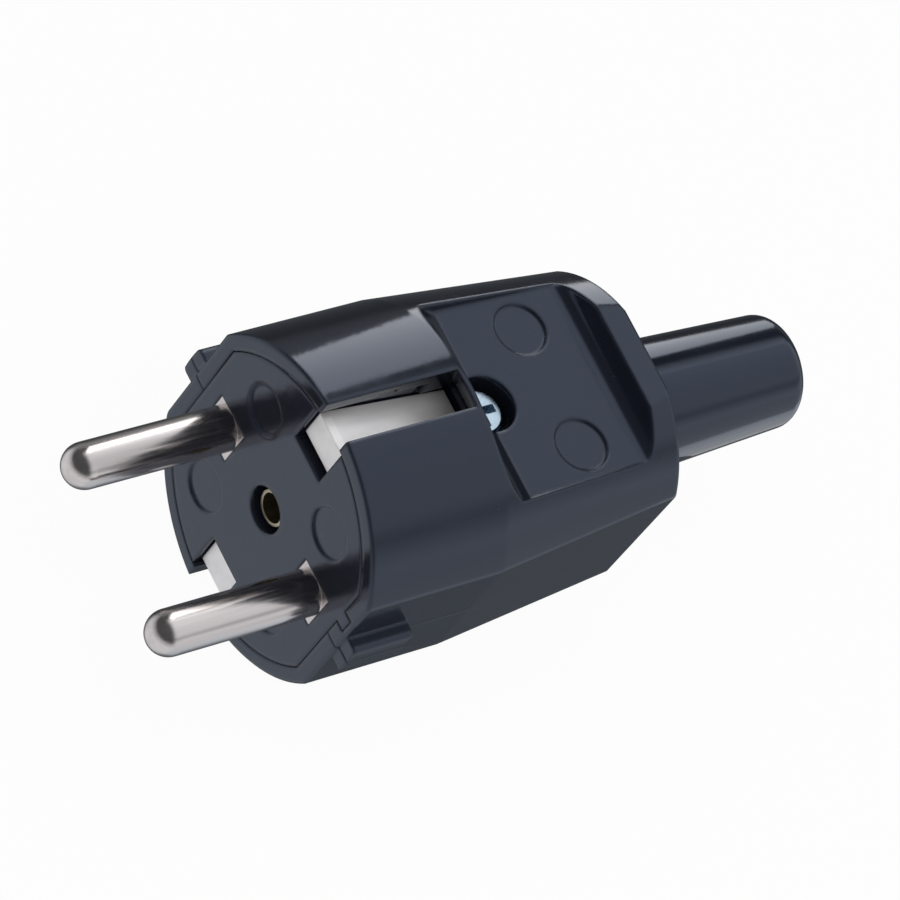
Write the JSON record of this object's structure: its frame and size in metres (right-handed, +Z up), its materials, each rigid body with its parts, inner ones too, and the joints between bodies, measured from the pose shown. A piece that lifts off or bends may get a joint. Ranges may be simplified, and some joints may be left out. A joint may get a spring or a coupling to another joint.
{
  "type": "earthed mains plug",
  "caption": "Rewirable earthed mains plug with round contact pins, side earth contacts, a screwed split housing with finger grips, and a bend protection sleeve for the cord.",
  "frame": {"origin": "centre of the engagement face, between the pins", "axes": "+X from the engagement face to the cord end, +Y along the line of the pins, +Z up through the broad side with the housing screw"},
  "size_m": [0.0844, 0.0354, 0.0354],
  "materials": {
    "housing": "moulded, semi-gloss dark slate black",
    "carrier": "moulded, satin dark slate black",
    "pins": "nickel plated, fine brushed",
    "earth_strip": "nickel plated strip, satin",
    "rivet_brass": "drawn brass tube",
    "zinc_steel": "bright zinc plated",
    "clamp": "moulded, matt",
    "sleeve": "smooth flexible moulding, semi-gloss"
  },
  "bodies": {
    "root": {"housing_top": "housing", "housing_bottom": "housing", "contact_carrier": "carrier", "pin_left": "pins", "pin_right": "pins", "terminal_screw_left": "zinc_steel", "terminal_screw_right": "zinc_steel", "pressure_plate_left": "zinc_steel", "pressure_plate_right": "zinc_steel", "earth_bracket": "earth_strip", "centre_rivet": "rivet_brass", "earth_plate": "zinc_steel", "earth_screw": "zinc_steel", "housing_screw": "zinc_steel", "housing_washer": "zinc_steel", "housing_nut": "zinc_steel", "clamp_bar": "clamp", "clamp_screw_left": "zinc_steel", "clamp_screw_right": "zinc_steel", "bend_sleeve": "sleeve"}
  },
  "joints": []
}
